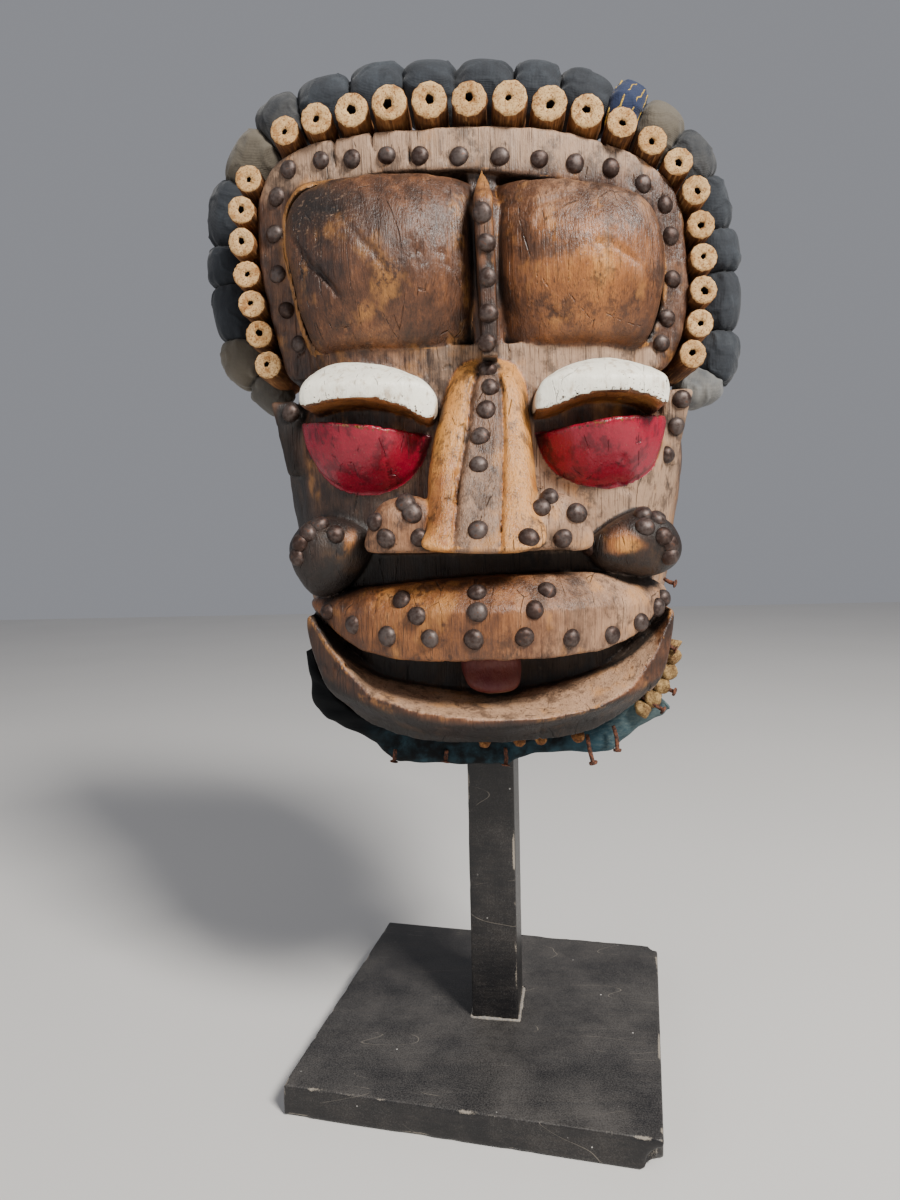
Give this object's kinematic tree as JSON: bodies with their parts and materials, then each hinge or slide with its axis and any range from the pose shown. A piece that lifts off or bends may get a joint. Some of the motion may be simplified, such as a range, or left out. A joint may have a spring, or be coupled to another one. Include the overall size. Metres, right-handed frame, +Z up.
{
  "type": "carved wooden mask on stand",
  "caption": "Carved wood face mask with domed forehead, lidded eyes, tusks, studs, a crown of short sticks and a cloth roll, on a black block stand",
  "frame": {"origin": "centre of the stand base's underside", "axes": "+Z up, the face looks along -Y, +X is the face's left hand side (the viewer's right)"},
  "size_m": [0.3128, 0.2325, 0.5743],
  "materials": {
    "carved_wood": "worn, waxed",
    "roll_cloth": "faded indigo cotton",
    "strip_cloth": "faded dark cotton",
    "fibre": "dry plant fibre",
    "stick_wood": "bare, split",
    "black_paint": "worn black paint"
  },
  "bodies": {
    "root": {"mask_body": "carved_wood", "cloth_roll": "roll_cloth", "jaw_strip": "strip_cloth", "jaw_rope": "fibre", "stand_base": "black_paint", "stand_post": "black_paint", "stick_01": "stick_wood", "stick_02": "stick_wood", "stick_03": "stick_wood", "stick_04": "stick_wood", "stick_05": "stick_wood", "stick_06": "stick_wood", "stick_07": "stick_wood", "stick_08": "stick_wood", "stick_09": "stick_wood", "stick_10": "stick_wood", "stick_11": "stick_wood", "stick_12": "stick_wood", "stick_13": "stick_wood", "stick_14": "stick_wood", "stick_15": "stick_wood", "stick_16": "stick_wood", "stick_17": "stick_wood", "stick_18": "stick_wood", "stick_19": "stick_wood", "stick_20": "stick_wood", "stick_21": "stick_wood", "stick_22": "stick_wood", "stick_23": "stick_wood", "stick_24": "stick_wood", "stick_25": "stick_wood"}
  },
  "joints": []
}
